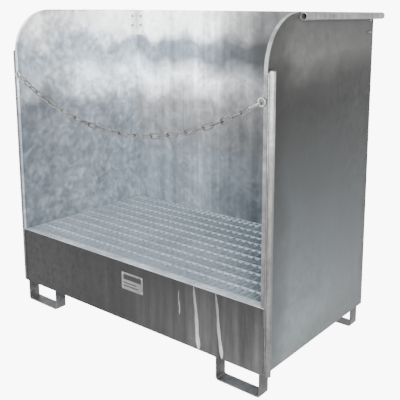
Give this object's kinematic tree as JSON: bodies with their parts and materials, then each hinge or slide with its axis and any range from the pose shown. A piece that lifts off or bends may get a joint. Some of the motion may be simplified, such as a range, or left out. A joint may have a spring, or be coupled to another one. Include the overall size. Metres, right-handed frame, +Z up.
{
  "type": "walled spill containment station",
  "caption": "Galvanised sheet-steel sump tray on fork loops, with lift-out gratings, full-height walls on three sides and a guard chain across the open front.",
  "frame": {"origin": "centre of the bounding box's footprint, on the floor", "axes": "+Z up, +X towards the right wall, -Y out through the open front"},
  "size_m": [1.4042, 0.8062, 1.335],
  "materials": {
    "galvanised_sheet": "hot-dip galvanised, mottled satin grey with faint spangle and a few zinc runs",
    "galvanised_tube": "hot-dip galvanised, satin",
    "galvanised_strap": "hot-dip galvanised, dull",
    "galvanised_grating": "hot-dip galvanised, light satin grey",
    "zinc_fittings": "bright zinc plated",
    "bright_angle": "bright zinc, brushed",
    "zinc_chain": "zinc plated, satin",
    "type_plate": "satin plate with plain dark printed shapes and no text",
    "black_plastic": "black, slightly glossy"
  },
  "bodies": {
    "station": {"tray_floor": "galvanised_sheet", "front_panel": "galvanised_sheet", "back_wall": "galvanised_sheet", "left_wall": "galvanised_sheet", "right_wall": "galvanised_sheet", "post_tube_left": "galvanised_tube", "post_tube_right": "galvanised_tube", "rail_tube_left": "galvanised_tube", "rail_tube_right": "galvanised_tube", "post_plug_left": "black_plastic", "post_plug_right": "black_plastic", "foot_front_left": "galvanised_strap", "foot_front_right": "galvanised_strap", "foot_rear_left": "galvanised_strap", "foot_rear_right": "galvanised_strap", "ledge_front": "galvanised_sheet", "ledge_rear": "galvanised_sheet", "ledge_left": "galvanised_sheet", "ledge_right": "galvanised_sheet", "chain_eye_left": "zinc_fittings", "chain_eye_right": "zinc_fittings", "corner_angle_left": "bright_angle", "corner_angle_right": "bright_angle", "corner_bolts": "zinc_fittings", "corner_nuts": "zinc_fittings", "type_plate": "type_plate", "type_plate_rivets": "zinc_fittings"},
    "grating_left": {"grating_left_band": "galvanised_grating", "grating_left_bearing_bars": "galvanised_grating", "grating_left_cross_bars": "galvanised_grating"},
    "grating_right": {"grating_right_band": "galvanised_grating", "grating_right_bearing_bars": "galvanised_grating", "grating_right_cross_bars": "galvanised_grating"},
    "safety_chain": {"chain_links": "zinc_chain", "quick_link": "zinc_chain", "quick_link_nut": "zinc_chain", "snap_hook": "zinc_chain"},
    "snap_gate": {"snap_gate": "zinc_chain", "snap_gate_pin": "zinc_chain"}
  },
  "joints": [
    {"name": "grating_left_lift", "type": "slide", "parent": "station", "child": "grating_left", "axis": [0, 0, 1], "range_m": [0, 0.3]},
    {"name": "grating_right_lift", "type": "slide", "parent": "station", "child": "grating_right", "axis": [0, 0, 1], "range_m": [0, 0.3]},
    {"name": "chain_swing", "type": "hinge", "parent": "station", "child": "safety_chain", "pos_m": [0, -0.3871, 1.04388], "axis": [1, 0, 0], "range_deg": [-30, 30]},
    {"name": "gate_pivot", "type": "hinge", "parent": "safety_chain", "child": "snap_gate", "pos_m": [0.61733, -0.3991, 1.0299], "axis": [-0.4708, 0, 0.8822], "range_deg": [0, 25], "stiffness_Nm_per_rad": 0.05, "springref_deg": -22.92}
  ]
}
